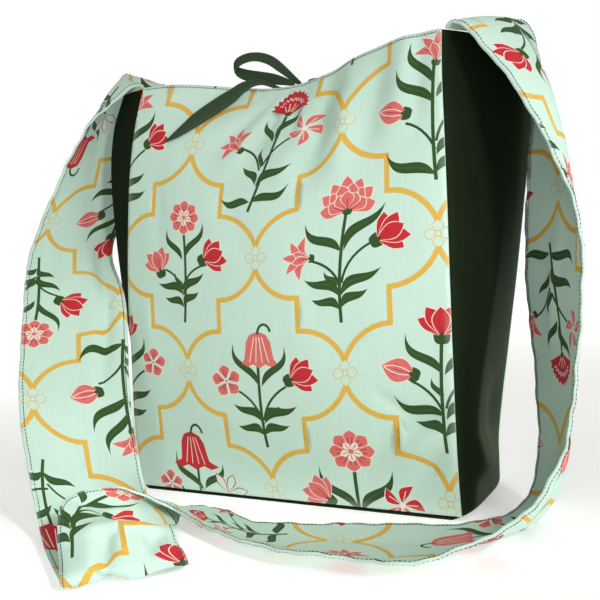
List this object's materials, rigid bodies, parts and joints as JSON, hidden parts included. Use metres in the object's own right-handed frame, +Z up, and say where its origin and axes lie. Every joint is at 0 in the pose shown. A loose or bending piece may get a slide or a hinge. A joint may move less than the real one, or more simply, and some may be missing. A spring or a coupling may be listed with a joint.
{
  "type": "messenger bag",
  "caption": "Soft cotton messenger bag with printed front and back panels, a plain gusset, a bow tie at the mouth and a wide printed strap laid on the floor.",
  "frame": {"origin": "middle of the flat base, on the surface the bag stands on", "axes": "+X to the bag's right seen from the front, +Y from the front panel to the back panel, +Z up"},
  "size_m": [0.4551, 0.3345, 0.3738],
  "materials": {
    "print_cotton": "woven pale mint cotton with a printed floral trellis",
    "plain_cotton": "plain dark green woven cotton",
    "tie_cotton": "plain dark green woven cotton band"
  },
  "bodies": {
    "root": {"front_panel": "print_cotton", "back_panel": "print_cotton", "gusset": "plain_cotton", "strap": "print_cotton", "tie_knot": "tie_cotton", "tie_loop_left": "tie_cotton", "tie_loop_right": "tie_cotton", "tie_tail_front": "tie_cotton", "tie_tail_back": "tie_cotton"}
  },
  "joints": []
}
